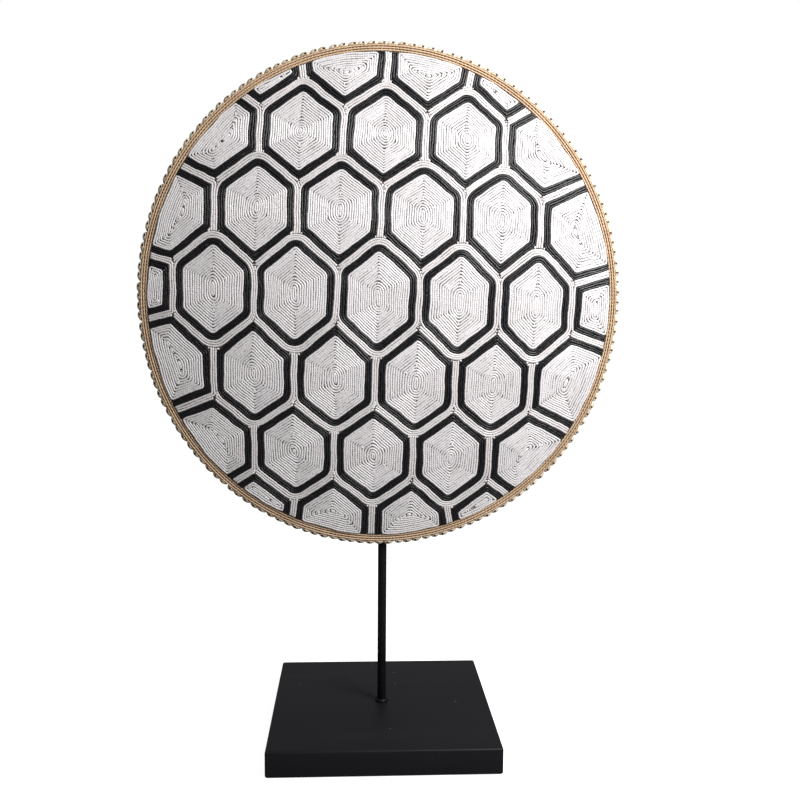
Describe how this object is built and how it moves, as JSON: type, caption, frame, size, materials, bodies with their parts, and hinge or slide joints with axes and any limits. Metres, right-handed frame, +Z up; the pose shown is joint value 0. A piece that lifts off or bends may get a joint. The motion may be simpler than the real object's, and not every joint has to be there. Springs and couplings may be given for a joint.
{
  "type": "beaded shield on a stand",
  "caption": "Shallow domed oval shield covered with white and black seed beads in a honeycomb pattern, edged with cords and small shells, on a rod in a square base.",
  "frame": {"origin": "on the base's underside, at the bottom centre of the bounding box", "axes": "+Z up along the rod, +Y to the back, so the beaded face looks along -Y, +X to the right seen from the front"},
  "size_m": [0.485, 0.225, 0.7],
  "materials": {
    "black_paint": "wood under satin black paint",
    "black_steel": "satin black",
    "cane": "dry coiled cane",
    "white_beads": "glossy opaque glass seed beads",
    "black_beads": "glossy opaque glass seed beads",
    "tan_fibre": "twisted plant fibre",
    "shell": "semi-gloss natural shell"
  },
  "bodies": {
    "root": {"base": "black_paint", "rod": "black_steel", "foot_collar": "black_steel", "backing": "cane", "white_beadwork": "white_beads", "outline_row1_cell1": "black_beads", "outline_row1_cell2": "black_beads", "outline_row1_cell3": "black_beads", "outline_row1_cell4": "black_beads", "outline_row2_cell1": "black_beads", "outline_row2_cell2": "black_beads", "outline_row2_cell3": "black_beads", "outline_row2_cell4": "black_beads", "outline_row2_cell5": "black_beads", "outline_row3_cell1": "black_beads", "outline_row3_cell2": "black_beads", "outline_row3_cell3": "black_beads", "outline_row3_cell4": "black_beads", "outline_row3_cell5": "black_beads", "outline_row3_cell6": "black_beads", "outline_row4_cell1": "black_beads", "outline_row4_cell2": "black_beads", "outline_row4_cell3": "black_beads", "outline_row4_cell4": "black_beads", "outline_row4_cell5": "black_beads", "outline_row4_cell6": "black_beads", "outline_row4_cell7": "black_beads", "outline_row5_cell1": "black_beads", "outline_row5_cell2": "black_beads", "outline_row5_cell3": "black_beads", "outline_row5_cell4": "black_beads", "outline_row5_cell5": "black_beads", "outline_row5_cell6": "black_beads", "outline_row6_cell1": "black_beads", "outline_row6_cell2": "black_beads", "outline_row6_cell3": "black_beads", "outline_row6_cell4": "black_beads", "outline_row6_cell5": "black_beads", "outline_row7_cell1": "black_beads", "outline_row7_cell2": "black_beads", "outline_row7_cell3": "black_beads", "outline_row7_cell4": "black_beads", "edge_cord_outer": "tan_fibre", "edge_cord_middle": "tan_fibre", "edge_cord_inner": "tan_fibre", "shell_edging": "shell"}
  },
  "joints": []
}
